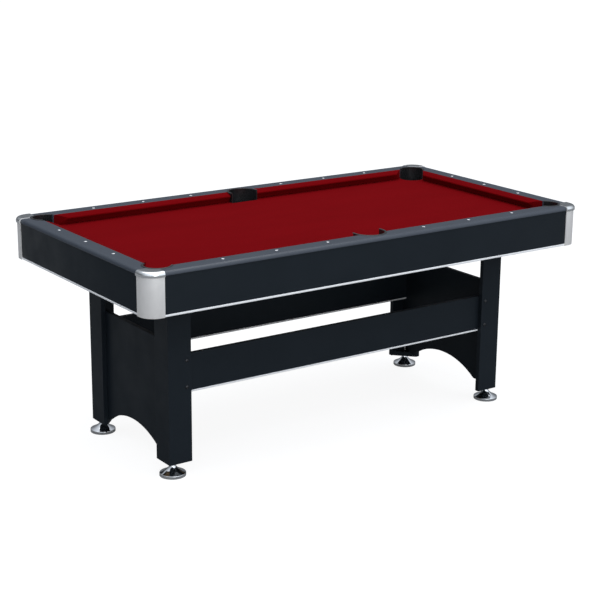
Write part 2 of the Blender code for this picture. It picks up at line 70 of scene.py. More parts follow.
def effect(name, inputs, outputs):
    """Starts a shader node group: inputs as {name: default}, outputs as {name: socket type}."""
    tree = bpy.data.node_groups.new(name, "ShaderNodeTree")
    for key, value in inputs.items():
        tree.interface.new_socket(key, in_out="INPUT", socket_type="NodeSocketFloat").default_value = value
    for key, kind in outputs.items():
        tree.interface.new_socket(key, in_out="OUTPUT", socket_type=kind)
    return tree, tree.nodes.new("NodeGroupInput").outputs, tree.nodes.new("NodeGroupOutput").inputs


def uneven_gloss():
    """Roughness that drifts between two values in soft patches, as handling and casting leave it."""
    tree, given, out = effect(
        "uneven gloss", {"Patch": 0.05, "Least": 0.2, "Most": 0.4}, {"Roughness": "NodeSocketFloat"}
    )
    place = node(tree, "ShaderNodeTexCoord").outputs["Object"]
    scale = node(tree, "ShaderNodeMath", {0: 1.0, 1: given["Patch"]}, operation="DIVIDE")
    patches = node(tree, "ShaderNodeTexNoise", {"Vector": place, "Scale": scale.outputs[0], "Detail": 5.0})
    spread = node(
        tree,
        "ShaderNodeMapRange",
        {"Value": patches.outputs["Fac"], "From Min": 0.3, "From Max": 0.7,
         "To Min": given["Least"], "To Max": given["Most"]},
    )
    tree.links.new(spread.outputs["Result"], out["Roughness"])
    return tree


def fine_pebble():
    """The small even roughness of a plated, moulded or laminated surface, as a normal."""
    tree, given, out = effect(
        "fine pebble", {"Grain": 0.0008, "Height": 0.00002}, {"Normal": "NodeSocketVector"}
    )
    place = node(tree, "ShaderNodeTexCoord").outputs["Object"]
    scale = node(tree, "ShaderNodeMath", {0: 1.0, 1: given["Grain"]}, operation="DIVIDE")
    grain = node(tree, "ShaderNodeTexNoise", {"Vector": place, "Scale": scale.outputs[0], "Detail": 3.0})
    raised = node(
        tree, "ShaderNodeBump", {"Strength": 1.0, "Distance": given["Height"], "Height": grain.outputs["Fac"]}
    )
    tree.links.new(raised.outputs["Normal"], out["Normal"])
    return tree


def rubbed_edges():
    """A broken mask along a piece's edges, where the finish has worn thin."""
    tree, given, out = effect("rubbed edges", {"Reach": 0.0015}, {"Mask": "NodeSocketFloat"})
    eased = node(tree, "ShaderNodeBevel", {"Radius": given["Reach"]}, samples=4)
    flat = node(tree, "ShaderNodeNewGeometry")
    turn = node(
        tree,
        "ShaderNodeVectorMath",
        {0: eased.outputs["Normal"], 1: flat.outputs["Normal"]},
        operation="DOT_PRODUCT",
    )
    edge = node(
        tree, "ShaderNodeMapRange", {"Value": turn.outputs["Value"], "From Min": 0.99, "From Max": 0.80}
    )
    place = node(tree, "ShaderNodeTexCoord").outputs["Object"]
    breaks = node(tree, "ShaderNodeTexNoise", {"Vector": place, "Scale": 90.0, "Detail": 6.0})
    patchy = node(
        tree, "ShaderNodeMapRange", {"Value": breaks.outputs["Fac"], "From Min": 0.42, "From Max": 0.62}
    )
    both = node(tree, "ShaderNodeMath", {0: edge.outputs[0], 1: patchy.outputs[0]}, operation="MULTIPLY")
    tree.links.new(both.outputs[0], out["Mask"])
    return tree


UNEVEN_GLOSS, FINE_PEBBLE, RUBBED_EDGES = uneven_gloss(), fine_pebble(), rubbed_edges()


def finish(name, **constants):
    """A new material: itself, its tree and its Principled shader, with the constants set on the shader."""
    made = bpy.data.materials.new(name)
    made.use_nodes = True
    shader = made.node_tree.nodes["Principled BSDF"]
    for key, value in constants.items():
        shader.inputs[key.replace("_", " ")].default_value = value
    return made, made.node_tree, shader


def placed_effect(tree, group, **values):
    """One of the effects above, placed in a material with its own values."""
    made = node(tree, "ShaderNodeGroup", node_tree=group)
    for key, value in values.items():
        made.inputs[key].default_value = value
    return made.outputs[0]


def two_tone(tree, mask, first, second):
    """The socket of a colour that a mask takes from one end to the other, each three values or a socket."""
    ends = {"Factor": mask}
    for key, colour in (("A", first), ("B", second)):
        ends[key] = (*colour, 1.0) if isinstance(colour, tuple) else colour
    return node(tree, "ShaderNodeMix", ends, data_type="RGBA").outputs["Result"]


def clouded(tree, scale, detail, first, second):
    """The socket of a colour that drifts between two tones in soft clouds."""
    place = node(tree, "ShaderNodeTexCoord").outputs["Object"]
    cloud = node(tree, "ShaderNodeTexNoise", {"Vector": place, "Scale": scale, "Detail": detail})
    return two_tone(tree, cloud.outputs["Fac"], first, second)


def surfaced(tree, shader, colour, gloss, pebble):
    """Joins a colour to a shader, with uneven gloss (patch, least, most) and pebble (grain, height)."""
    tree.links.new(colour, shader.inputs["Base Color"])
    patch, least, most = gloss
    uneven = placed_effect(tree, UNEVEN_GLOSS, Patch=patch, Least=least, Most=most)
    tree.links.new(uneven, shader.inputs["Roughness"])
    grain, height = pebble
    tree.links.new(placed_effect(tree, FINE_PEBBLE, Grain=grain, Height=height), shader.inputs["Normal"])


def chrome_plate():
    made, tree, shader = finish("chrome_plate", Metallic=1.0)
    worn = placed_effect(tree, RUBBED_EDGES, Reach=0.0012)
    colour = two_tone(tree, worn, (0.86, 0.87, 0.88), (0.60, 0.61, 0.62))
    surfaced(tree, shader, colour, gloss=(0.012, 0.035, 0.11), pebble=(0.004, 0.00002))
    return made


def mesh_from(shape):
    """The mesh of a bmesh, with its faces turned outwards."""
    bmesh.ops.recalc_face_normals(shape, faces=shape.faces)
    mesh = bpy.data.meshes.new("made")
    shape.to_mesh(mesh)
    shape.free()
    return mesh


def turned(profile, steps, x=0.0, y=0.0):
    """A section of (radius, height) points turned about an upright axis, closed where it meets the axis."""
    shape = bmesh.new()
    rings = []
    for radius, height in profile:
        count = steps if radius else 1
        angles = [2 * math.pi * i / count for i in range(count)]
        rings.append(
            [shape.verts.new((x + radius * math.cos(a), y + radius * math.sin(a), height)) for a in angles]
        )
    for above, below in zip(rings, rings[1:]):
        for i in range(steps):
            ends = [above[i % len(above)], above[(i + 1) % len(above)]]
            ends += [below[(i + 1) % len(below)], below[i % len(below)]]
            corners = list(dict.fromkeys(ends))
            if len(corners) > 2:
                shape.faces.new(corners)
    return mesh_from(shape)


def arc(centre, radius, start, end, steps):
    """Points on an arc, both ends included, its angles in degrees."""
    spread = [math.radians(start + (end - start) * i / steps) for i in range(steps + 1)]
    return [(centre[0] + radius * math.cos(a), centre[1] + radius * math.sin(a)) for a in spread]


def shown(name, mesh, material, body="table", replaced=(), crease=35):
    """Adds a mesh as a piece that rides on a CAD body, smooth but for edges sharper than its crease."""
    mesh.name = name
    mesh.materials.clear()
    mesh.materials.append(material)
    mesh.shade_smooth()
    mesh.set_sharp_from_angle(angle=math.radians(crease))
    piece = bpy.data.objects.new(name, mesh)
    bpy.context.scene.collection.objects.link(piece)
    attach(piece, body)
    if replaced:
        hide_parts(*replaced)
    return piece


CORNERS = [f"{side}_{end}" for side in ("front", "back") for end in ("left", "right")]
CHROME = chrome_plate()
SOCKET_RADIUS = 0.0053
SOCKET_FLOOR = 0.030
MOUTH_EASE = 0.0008
MOUTH_TOP = 0.0006  # how far below the collar's top the socket's straight wall ends
COLLAR_RADIUS = 0.0106
COLLAR_EASE = 0.0012
SHOULDER = 0.0114  # height at which the flare turns down into the base's upright edge
SHOULDER_ROUND = 0.0020
UNDER_EASE = 0.0010
FLARE = [(0.0108, 0.0365), (0.0118, 0.0333), (0.0136, 0.0302), (0.0164, 0.0272), (0.0202, 0.0240),
         (0.0250, 0.0207), (0.0302, 0.0176), (0.0356, 0.0149), (0.0402, 0.0129)]

for corner in CORNERS:
    low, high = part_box(f"foot_{corner}")
    reach = (high.x - low.x) / 2
    section = (
        [(0.0, SOCKET_FLOOR), (SOCKET_RADIUS, SOCKET_FLOOR), (SOCKET_RADIUS, high.z - MOUTH_TOP)]
        + arc((SOCKET_RADIUS + MOUTH_EASE, high.z - MOUTH_EASE), MOUTH_EASE, 180, 90, 3)
        + arc((COLLAR_RADIUS - COLLAR_EASE, high.z - COLLAR_EASE), COLLAR_EASE, 90, 0, 4)
        + FLARE
        + arc((reach - SHOULDER_ROUND, SHOULDER - SHOULDER_ROUND), SHOULDER_ROUND, 72, 0, 6)
        + arc((reach - UNDER_EASE, UNDER_EASE), UNDER_EASE, 0, -90, 4)
        + [(0.0, 0.0)]
    )
    mesh = turned(section, 96, (low.x + high.x) / 2, (low.y + high.y) / 2)
    shown(f"levelling_foot_{corner}", mesh, CHROME, f"foot_{corner}", [f"foot_{corner}"], crease=50)


# ---------------------------------------------------------------------------------------------------------
# Studs. Zinc-plated M10 threaded rod that screws up into the block in each leg. A plain core carries one
# long helical ridge, and the whole stud turns in its foot.

def zinc_plate():
    made, tree, shader = finish("zinc_plate", Metallic=1.0)
    colour = clouded(tree, 160.0, 4.0, (0.50, 0.51, 0.54), (0.66, 0.65, 0.60))
    surfaced(tree, shader, colour, gloss=(0.006, 0.22, 0.45), pebble=(0.0006, 0.00001))
    return made


def builder(name, inputs):
    """Starts a Geometry Nodes tree with named inputs, {name: (socket type, default)}, and a material."""
    tree = bpy.data.node_groups.new(name, "GeometryNodeTree")
    tree.interface.new_socket("Geometry", in_out="INPUT", socket_type="NodeSocketGeometry")
    for key, (kind, value) in inputs.items():
        tree.interface.new_socket(key, in_out="INPUT", socket_type=kind).default_value = value
    tree.interface.new_socket("Finish", in_out="INPUT", socket_type="NodeSocketMaterial")
    tree.interface.new_socket("Geometry", in_out="OUTPUT", socket_type="NodeSocketGeometry")
    return tree, tree.nodes.new("NodeGroupInput").outputs


def close_tree(tree, geometry, given):
    """Ends a tree: instances made real, then its material set."""
    real = node(tree, "GeometryNodeRealizeInstances", {"Geometry": geometry})
    painted = node(
        tree, "GeometryNodeSetMaterial", {"Geometry": real.outputs[0], "Material": given["Finish"]}
    )
    tree.links.new(painted.outputs[0], tree.nodes.new("NodeGroupOutput").inputs[0])
    return tree


def grown(tree, points, facings, **values):
    """Runs a tree on a set of points, each with a direction, and returns the plain mesh it makes."""
    start = bpy.data.meshes.new("points")
    start.from_pydata(points, [], [])
    facing = start.attributes.new("facing", "FLOAT_VECTOR", "POINT")
    facing.data.foreach_set("vector", [c for direction in facings for c in direction])
    holder = bpy.data.objects.new("points", start)
    bpy.context.scene.collection.objects.link(holder)
    modifier = holder.modifiers.new("grown", "NODES")
    modifier.node_group = tree
    sockets = {item.name: item.identifier for item in tree.interface.items_tree if item.in_out == "INPUT"}
    for key, value in values.items():
        modifier[sockets[key.replace("_", " ")]] = value
    bpy.context.view_layer.update()
    mesh = bpy.data.meshes.new_from_object(holder.evaluated_get(bpy.context.evaluated_depsgraph_get()))
    bpy.data.objects.remove(holder)
    return mesh


def thread_tree():
    """A threaded rod standing on each point: a core and a helical ridge round it."""
    real = "NodeSocketFloat"
    tree, given = builder(
        "threaded rod",
        {"Core": (real, 0.0043), "Crest": (real, 0.0049), "Pitch": (real, 0.0015), "Length": (real, 0.05)},
    )
    turns = node(tree, "ShaderNodeMath", {0: given["Length"], 1: given["Pitch"]}, operation="DIVIDE")
    helix = node(
        tree,
        "GeometryNodeCurveSpiral",
        {"Resolution": 28, "Rotations": turns.outputs[0], "Start Radius": given["Core"],
         "End Radius": given["Core"], "Height": given["Length"]},
    )
    depth = node(tree, "ShaderNodeMath", {0: given["Crest"], 1: given["Core"]}, operation="SUBTRACT")
    ridge = node(tree, "GeometryNodeCurvePrimitiveCircle", {"Resolution": 4, "Radius": depth.outputs[0]})
    thread = node(
        tree,
        "GeometryNodeCurveToMesh",
        {"Curve": helix.outputs[0], "Profile Curve": ridge.outputs[0], "Fill Caps": True},
    )
    middle = node(tree, "ShaderNodeMath", {0: given["Length"], 1: 0.5}, operation="MULTIPLY")
    raised = node(tree, "ShaderNodeCombineXYZ", {"Z": middle.outputs[0]})
    rod = node(
        tree, "GeometryNodeMeshCylinder", {"Vertices": 32, "Radius": given["Core"], "Depth": given["Length"]}
    )
    moved = node(
        tree, "GeometryNodeTransform", {"Geometry": rod.outputs["Mesh"], "Translation": raised.outputs[0]}
    )
    both = node(tree, "GeometryNodeJoinGeometry")
    tree.links.new(thread.outputs[0], both.inputs[0])
    tree.links.new(moved.outputs[0], both.inputs[0])
    set_out = node(
        tree, "GeometryNodeInstanceOnPoints", {"Points": given["Geometry"], "Instance": both.outputs[0]}
    )
    return close_tree(tree, set_out.outputs[0], given)


ZINC = zinc_plate()
THREADED_ROD = thread_tree()
STUD_CORE = 0.0043
THREAD_PITCH = 0.0015
THREAD_END = 0.0012  # how far the rod stops short of the stud's box at each end
CREST_EASE = 0.0001

for corner in CORNERS:
    low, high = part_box(f"stud_{corner}")
    crest = (high.x - low.x) / 2 - CREST_EASE
    start = Vector(((low.x + high.x) / 2, (low.y + high.y) / 2, low.z + THREAD_END))
    mesh = grown(
        THREADED_ROD, [start], [(0, 0, 1)], Core=STUD_CORE, Crest=crest, Pitch=THREAD_PITCH,
        Length=high.z - low.z - 2 * THREAD_END, Finish=ZINC,
    )
    shown(f"threaded_stud_{corner}", mesh, ZINC, f"stud_{corner}", [f"stud_{corner}"], crease=40)


# ---------------------------------------------------------------------------------------------------------
# Legs, end panels and foot blocks. Particle board under a near-black satin laminate, with eased edges. Two
# boards make each angle leg, and an arched panel stands behind each pair of end flanges.


def black_laminate():
    made, tree, shader = finish("black_laminate", Specular_IOR_Level=0.13)
    tone = clouded(tree, 7.0, 6.0, (0.0092, 0.0132, 0.0174), (0.0130, 0.0180, 0.0232))
    worn = placed_effect(tree, RUBBED_EDGES, Reach=0.0014)
    colour = two_tone(tree, worn, tone, (0.050, 0.056, 0.064))
    surfaced(tree, shader, colour, gloss=(0.09, 0.36, 0.50), pebble=(0.0011, 0.00003))
    return made


MERGE = 0.00002  # corners closer than this are one corner


def eased(cad_node, name, material, slot, edge, steps=2):
    """A copy of a CAD node with its edges rounded a little, as a router, a mould or a press leaves them."""
    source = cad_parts[cad_node].data
    shape = bmesh.new()
    for vertex in source.vertices:
        shape.verts.new(vertex.co)
    shape.verts.ensure_lookup_table()
    for face in source.polygons:
        shape.faces.new([shape.verts[i] for i in face.vertices])
    bmesh.ops.remove_doubles(shape, verts=shape.verts, dist=MERGE)
    bmesh.ops.dissolve_limit(shape, angle_limit=math.radians(1), verts=shape.verts, edges=shape.edges)
    piece = shown(name, mesh_from(shape), material, "table", [cad_node])
    rounding = piece.modifiers.new("eased edges", "BEVEL")
    rounding.width = edge
    rounding.segments = steps
    rounding.limit_method = "ANGLE"
    rounding.angle_limit = math.radians(35)
    rounding.harden_normals = True
    return piece


LAMINATE = black_laminate()
BOARD_EDGE = 0.0010
BLOCK_EDGE = 0.0008

for corner in CORNERS:
    eased(f"leg_{corner}", f"angle_leg_{corner}", LAMINATE, "laminate", BOARD_EDGE)
    eased(f"foot_block_{corner}", f"stud_block_{corner}", LAMINATE, "laminate", BLOCK_EDGE)
for end in ("left", "right"):
    eased(f"end_panel_{end}", f"arched_panel_{end}", LAMINATE, "laminate", BOARD_EDGE)


# ---------------------------------------------------------------------------------------------------------
# Stretchers and mouldings. A laminated board runs along each side between the end frames, and a bright
# T-moulding is pressed into the groove along its lower edge, as along the foot of each apron.


def bright_moulding():
    made, tree, shader = finish("bright_moulding")
    colour = clouded(tree, 25.0, 3.0, (0.95, 0.955, 0.96), (0.99, 0.99, 0.99))
    surfaced(tree, shader, colour, gloss=(0.03, 0.22, 0.36), pebble=(0.0020, 0.00002))
    return made


def lofted(loops):
    """A closed skin over a row of closed loops, all with as many points, and its two ends capped."""
    shape = bmesh.new()
    rows = [[shape.verts.new(point) for point in loop] for loop in loops]
    for first, second in zip(rows, rows[1:]):
        for i, corner in enumerate(first):
            j = (i + 1) % len(first)
            shape.faces.new((corner, first[j], second[j], second[i]))
    shape.faces.new(rows[0])
    shape.faces.new(rows[-1])
    return mesh_from(shape)


def along_side(cad_node):
    """How a long, straight piece lies: its box, whether it runs along X, and which way its face looks."""
    low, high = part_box(cad_node)
    runs_x = high.x - low.x > high.y - low.y
    middle = (low + high) / 2
    outward = math.copysign(1, middle.y if runs_x else middle.x)
    return low, high, runs_x, outward


MOULDING_ROUND = 0.46  # each lower corner's radius, as a share of the moulding's height
MOULDING_NICK = 0.0006


def moulding(cad_node, name):
    """A T-moulding: a crowned strip whose lower corners are fully rounded, as deep as its CAD box."""
    low, high, runs_x, _ = along_side(cad_node)
    near, far = (low.y, high.y) if runs_x else (low.x, high.x)
    start, end = (low.x, high.x) if runs_x else (low.y, high.y)
    bend = (high.z - low.z) * MOULDING_ROUND
    shoulder = high.z - MOULDING_NICK
    section = (
        [(far - MOULDING_NICK, high.z), (near + MOULDING_NICK, high.z), (near, shoulder)]
        + arc((near + bend, low.z + bend), bend, 180, 270, 8)
        + arc((far - bend, low.z + bend), bend, 270, 360, 8)
        + [(far, shoulder)]
    )
    loops = []
    for station in (start, end):
        loops.append([(station, a, z) if runs_x else (a, station, z) for a, z in section])
    return shown(name, lofted(loops), MOULDING, "table", [cad_node], crease=30)


MOULDING = bright_moulding()

for side in ("front", "back"):
    eased(f"stretcher_{side}", f"stretcher_board_{side}", LAMINATE, "laminate", BOARD_EDGE)
    moulding(f"stretcher_trim_{side}", f"stretcher_moulding_{side}")


# ---------------------------------------------------------------------------------------------------------
# Leg bolts. Two black button-head machine screws with hexagon sockets pass through each leg's side flange
# into nuts behind the stretcher.


def blackened_steel():
    made, tree, shader = finish("blackened_steel", Metallic=1.0)
    worn = placed_effect(tree, RUBBED_EDGES, Reach=0.0006)
    colour = two_tone(tree, worn, (0.060, 0.061, 0.065), (0.30, 0.30, 0.31))
    surfaced(tree, shader, colour, gloss=(0.004, 0.30, 0.48), pebble=(0.0005, 0.00001))
    return made


def screw_tree():
    """A domed screw head with a six-sided socket on every point, turned to its own direction."""
    real = "NodeSocketFloat"
    tree, given = builder(
        "screw heads", {"Head Radius": (real, 0.006), "Head Height": (real, 0.003), "Socket": (real, 0.0024)}
    )
    ball = node(tree, "GeometryNodeMeshUVSphere", {"Segments": 24, "Rings": 12, "Radius": 1.0})
    size = node(
        tree,
        "ShaderNodeCombineXYZ",
        {"X": given["Head Radius"], "Y": given["Head Radius"], "Z": given["Head Height"]},
    )
    dome = node(tree, "GeometryNodeTransform", {"Geometry": ball.outputs["Mesh"], "Scale": size.outputs[0]})
    deep = node(tree, "ShaderNodeMath", {0: given["Head Height"], 1: 1.3}, operation="MULTIPLY")
    key = node(
        tree,
        "GeometryNodeMeshCylinder",
        {"Vertices": 6, "Radius": given["Socket"], "Depth": deep.outputs[0]},
    )
    lift = node(tree, "ShaderNodeCombineXYZ", {"Z": given["Head Height"]})
    cutter = node(
        tree, "GeometryNodeTransform", {"Geometry": key.outputs["Mesh"], "Translation": lift.outputs[0]}
    )
    head = node(tree, "GeometryNodeMeshBoolean", operation="DIFFERENCE", solver="EXACT")
    tree.links.new(dome.outputs[0], head.inputs["Mesh 1"])
    tree.links.new(cutter.outputs[0], head.inputs["Mesh 2"])
    way = node(tree, "GeometryNodeInputNamedAttribute", {"Name": "facing"}, data_type="FLOAT_VECTOR")
    turn = node(tree, "FunctionNodeAlignRotationToVector", {"Vector": way.outputs["Attribute"]}, axis="Z")
    set_out = node(
        tree,
        "GeometryNodeInstanceOnPoints",
        {"Points": given["Geometry"], "Instance": head.outputs["Mesh"], "Rotation": turn.outputs[0]},
    )
    return close_tree(tree, set_out.outputs[0], given)


BLACKENED = blackened_steel()
SCREW_HEADS = screw_tree()
BOLT_INSET = 0.071  # a bolt's axis from the leg's outer corner, along the side flange
BOLT_HEIGHTS = (0.16, 0.87)  # shares of the stretcher's depth
HEAD_RADIUS = 0.0065
HEAD_HEIGHT = 0.0034
HEX_RADIUS = 0.0028

board_low, board_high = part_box("stretcher_front")
bolts, facings = [], []
for corner in CORNERS:
    low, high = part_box(f"leg_{corner}")
    out_x, out_y = math.copysign(1, low.x), math.copysign(1, low.y)
    face_x = high.x if out_x > 0 else low.x
    face_y = high.y if out_y > 0 else low.y
    for share in BOLT_HEIGHTS:
        height = board_low.z + (board_high.z - board_low.z) * share
        bolts.append((face_x - out_x * BOLT_INSET, face_y, height))
        facings.append((0, out_y, 0))
mesh = grown(
    SCREW_HEADS, bolts, facings, Head_Radius=HEAD_RADIUS, Head_Height=HEAD_HEIGHT, Socket=HEX_RADIUS,
    Finish=BLACKENED,
)
shown("leg_bolts", mesh, BLACKENED, crease=40)


# ---------------------------------------------------------------------------------------------------------
# Beams. Raw particle board on edge under the bed: one across at each pair of legs and one down the middle,
# glued and screwed, with nothing to cover their chips and saw marks.


def particle_board():
    made, tree, shader = finish("particle_board", Roughness=0.86)
    place = node(tree, "ShaderNodeTexCoord").outputs["Object"]
    stretch = node(tree, "ShaderNodeMapping", {"Vector": place, "Scale": (1.0, 1.0, 2.2)})
    chips = node(tree, "ShaderNodeTexVoronoi", {"Vector": stretch.outputs[0], "Scale": 420.0})
    split = node(tree, "ShaderNodeSeparateColor", {"Color": chips.outputs["Color"]})
    tone = two_tone(tree, split.outputs[0], (0.36, 0.235, 0.125), (0.56, 0.40, 0.235))
    cloud = node(tree, "ShaderNodeTexNoise", {"Vector": place, "Scale": 16.0, "Detail": 6.0})
    shade = node(
        tree, "ShaderNodeMapRange", {"Value": cloud.outputs["Fac"], "To Min": 0.75, "To Max": 1.15}
    )
    dim = node(tree, "ShaderNodeMix", {"Factor": 1.0, "A": tone}, data_type="RGBA", blend_type="MULTIPLY")
    tree.links.new(shade.outputs[0], dim.inputs["B"])
    tree.links.new(dim.outputs["Result"], shader.inputs["Base Color"])
    relief = node(
        tree, "ShaderNodeBump", {"Strength": 0.6, "Distance": 0.0002, "Height": chips.outputs["Distance"]}
    )
    tree.links.new(relief.outputs["Normal"], shader.inputs["Normal"])
    return made


BOARD = particle_board()
SAWN_EDGE = 0.0006

eased("middle_beam", "middle_beam_board", BOARD, "board", SAWN_EDGE)
for end in ("left", "right"):
    eased(f"cross_beam_{end}", f"cross_beam_board_{end}", BOARD, "board", SAWN_EDGE)


# ---------------------------------------------------------------------------------------------------------
# Ball return. Open gullies moulded in black plastic carry the balls under the bed to a box behind the mouth
# in the right-hand apron, where a bezel finishes the opening.


def black_plastic():
    made, tree, shader = finish("black_plastic", Specular_IOR_Level=0.55)
    colour = clouded(tree, 30.0, 5.0, (0.0085, 0.0085, 0.0095), (0.0160, 0.0160, 0.0170))
    surfaced(tree, shader, colour, gloss=(0.02, 0.22, 0.40), pebble=(0.0007, 0.00002))
    return made


PLASTIC = black_plastic()
GULLY_EDGE, BOX_EDGE, BEZEL_EDGE = 0.0007, 0.0008, 0.0009

for side in ("front", "back"):
    eased(f"gully_{side}", f"ball_gully_{side}", PLASTIC, "liner_plastic", GULLY_EDGE)
eased("ball_box", "return_box", PLASTIC, "liner_plastic", BOX_EDGE)
eased("return_bezel", "mouth_bezel", PLASTIC, "liner_plastic", BEZEL_EDGE, steps=3)


# ---------------------------------------------------------------------------------------------------------
# Bed and cloth. The bed is one board with the pockets cut through. A red napped wool-blend cloth is stretched
# over it and stapled underneath, and the same cloth covers the cushions; their copy of it is a little darker,
# as painted shade.


def cloth_nap():
    """The raised, brushed surface of billiard cloth: a shade that drifts, and a height for its fibres."""
    tree, given, out = effect(
        "cloth nap",
        {"Fibre": 0.0009},
        {"Shade": "NodeSocketFloat", "Height": "NodeSocketFloat"},
    )
    place = node(tree, "ShaderNodeTexCoord").outputs["Object"]
    brushed = node(tree, "ShaderNodeMapping", {"Vector": place, "Scale": (0.35, 1.0, 1.0)})
    scale = node(tree, "ShaderNodeMath", {0: 1.0, 1: given["Fibre"]}, operation="DIVIDE")
    fibres = node(
        tree,
        "ShaderNodeTexNoise",
        {"Vector": brushed.outputs[0], "Scale": scale.outputs[0], "Detail": 4.0, "Distortion": 0.6},
    )
    drift = node(tree, "ShaderNodeTexNoise", {"Vector": brushed.outputs[0], "Scale": 9.0, "Detail": 5.0})
    fine = node(tree, "ShaderNodeMath", {0: fibres.outputs["Fac"], 1: 0.45}, operation="MULTIPLY")
    broad = node(tree, "ShaderNodeMath", {0: drift.outputs["Fac"], 1: 0.55}, operation="MULTIPLY")
    both = node(tree, "ShaderNodeMath", {0: fine.outputs[0], 1: broad.outputs[0]}, operation="ADD")
    tree.links.new(both.outputs[0], out["Shade"])
    tree.links.new(fibres.outputs["Fac"], out["Height"])
    return tree


def red_cloth(name, dark, light, fibre):
    made, tree, shader = finish(
        name, Roughness=0.95, Specular_IOR_Level=0.02, Sheen_Weight=0.03, Sheen_Roughness=0.40
    )
    shader.inputs["Sheen Tint"].default_value = (0.85, 0.08, 0.10, 1.0)
    nap = node(tree, "ShaderNodeGroup", node_tree=CLOTH_NAP)
    nap.inputs["Fibre"].default_value = fibre
    tree.links.new(two_tone(tree, nap.outputs["Shade"], dark, light), shader.inputs["Base Color"])
    relief = node(
        tree, "ShaderNodeBump", {"Strength": 0.5, "Distance": 0.0004, "Height": nap.outputs["Height"]}
    )
    tree.links.new(relief.outputs["Normal"], shader.inputs["Normal"])
    return made


CLOTH_NAP = cloth_nap()
BED_FELT = red_cloth("bed_felt", (0.117, 0.0007, 0.0017), (0.175, 0.0015, 0.0035), 0.0010)
# The cushions' copy of the bed cloth, a little darker than the bed's: painted shade.
SHADED_RAIL_FELT = red_cloth("rail_felt_painted_shade", (0.108, 0.0006, 0.0015), (0.163, 0.0013, 0.0030), 0.0008)

BED_EDGE, CLOTH_FOLD = 0.0005, 0.0004

eased("playfield", "bed_board", BOARD, "board", BED_EDGE, steps=1)
cloth = eased("bed_cloth", "stretched_bed_cloth", BED_FELT, "felt", CLOTH_FOLD)
low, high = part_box("bed_cloth")


# ---------------------------------------------------------------------------------------------------------
# Pocket liners. Glossy black plastic horseshoes stand in the bed's holes behind the cushions. A thin raised
# rim laps over the rail, and the lower ring guides the ball down into the gully.

CLEAR = 0.0003  # left between a piece and its neighbour
RIM_LAP = 0.004
RIM_INSET = 0.0004
RIM_EDGE, RIM_TAPER = 0.0010, 0.0030  # how far below the rail's top the rim's inner edge ends, and its taper
LINER_WALL = 0.004
WALL_FOOT = 0.002  # the wall's depth below the bed's top
THROAT_TOP = 0.001  # the throat's start below the bed's top
THROAT_SKIN = 0.0005  # how far the throat's faces lie inside the wall's
SPOUT_DROP = 0.005  # how far a corner liner's inner lip hangs into its gully
SPOUT_SHARE = 0.35  # the lip's thickness, as a share of the throat's
CORNER_RADIUS, CORNER_LEG = 0.0465, 0.010
MIDDLE_RADIUS, MIDDLE_LEG = 0.057, 0.0181
BENDS = 48  # flats round half a pocket


def horseshoe_path(radius, leg):
    """Stations round a horseshoe open towards +x, as (point, outward normal), from leg's end to leg's end."""
    stations = [((leg, radius), (0.0, 1.0))]
    for x, y in arc((0, 0), radius, 90, 270, BENDS):
        stations.append(((x, y), (x / radius, y / radius)))
    stations.append(((leg, -radius), (0.0, -1.0)))
    return stations


pockets = {}
for side in ("front", "back"):
    for end in ("left", "middle", "right"):
        low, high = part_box(f"pocket_liner_{side}_{end}")
        radius, leg = (MIDDLE_RADIUS, MIDDLE_LEG) if end == "middle" else (CORNER_RADIUS, CORNER_LEG)
        reach = radius + RIM_LAP
        y = high.y - reach if side == "back" else low.y + reach
        x = {"left": low.x + reach, "middle": 0.0, "right": high.x - reach}[end]
        facing = math.atan2(-math.copysign(1, y), -math.copysign(1, x) if x else 0.0)
        set_in = Matrix.Translation((x, y, 0)) @ Matrix.Rotation(facing, 4, "Z")
        pockets[f"{side}_{end}"] = (set_in, radius, leg)

